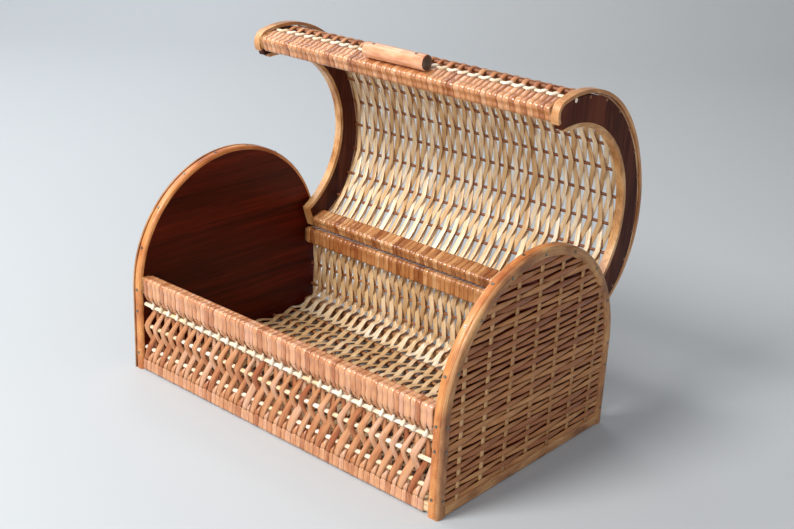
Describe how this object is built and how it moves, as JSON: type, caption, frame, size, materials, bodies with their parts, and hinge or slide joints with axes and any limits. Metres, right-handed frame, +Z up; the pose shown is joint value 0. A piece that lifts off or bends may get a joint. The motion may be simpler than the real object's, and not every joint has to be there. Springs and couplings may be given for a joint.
{
  "type": "wicker box with hinged domed lid",
  "caption": "Wicker storage box with half-round end panels, low woven front and a domed woven lid hinged at the back, standing open.",
  "frame": {"origin": "centre of the base, on the plane the box stands on", "axes": "+Z up, +X along the length towards the right end panel, -Y towards the low front wall"},
  "size_m": [0.4058, 0.3051, 0.3455],
  "materials": {
    "board_wood": "thin mahogany-faced plywood, satin varnish",
    "cheek_wood": "thin mahogany-faced plywood, satin varnish",
    "rail_wood": "bare softwood",
    "bent_cane": "varnished rattan cane",
    "face_cane": "varnished half-round cane",
    "split_cane": "varnished split cane",
    "strand": "half-round willow strands, satin varnish",
    "end_strand": "split willow weavers, satin varnish",
    "pale_reed": "round reed, satin varnish",
    "handle_wood": "varnished rattan stick",
    "nail_steel": "bright nail heads"
  },
  "bodies": {
    "box": {"left_end_board": "board_wood", "left_edge_cane": "bent_cane", "left_face_cane": "face_cane", "left_foot_cane": "face_cane", "left_end_weave": "end_strand", "left_cane_nails": "nail_steel", "right_end_board": "board_wood", "right_edge_cane": "bent_cane", "right_face_cane": "face_cane", "right_foot_cane": "face_cane", "right_end_weave": "end_strand", "right_cane_nails": "nail_steel", "front_top_rail": "rail_wood", "front_top_wrap": "split_cane", "front_bottom_rail": "rail_wood", "front_bottom_wrap": "split_cane", "rear_top_rail": "rail_wood", "rear_top_wrap": "split_cane", "step_batten": "rail_wood", "front_reeds": "pale_reed", "back_reeds": "pale_reed", "floor_reeds": "pale_reed", "front_weave": "strand", "back_weave": "strand", "floor_weave": "strand", "hinge_pins": "nail_steel"},
    "lid": {"lid_front_rail": "rail_wood", "lid_front_wrap": "split_cane", "lid_rear_rail": "rail_wood", "lid_rear_wrap": "split_cane", "lid_left_cheek": "cheek_wood", "lid_left_inner_cane": "bent_cane", "lid_left_outer_cane": "bent_cane", "lid_right_cheek": "cheek_wood", "lid_right_inner_cane": "bent_cane", "lid_right_outer_cane": "bent_cane", "lid_reeds": "pale_reed", "lid_weave": "strand", "handle": "handle_wood", "handle_nails": "nail_steel"}
  },
  "joints": [
    {"name": "lid_hinge", "type": "hinge", "parent": "box", "child": "lid", "pos_m": [0, 0.1129, 0.1115], "axis": [1, 0, 0], "range_deg": [0, 68.7]}
  ]
}
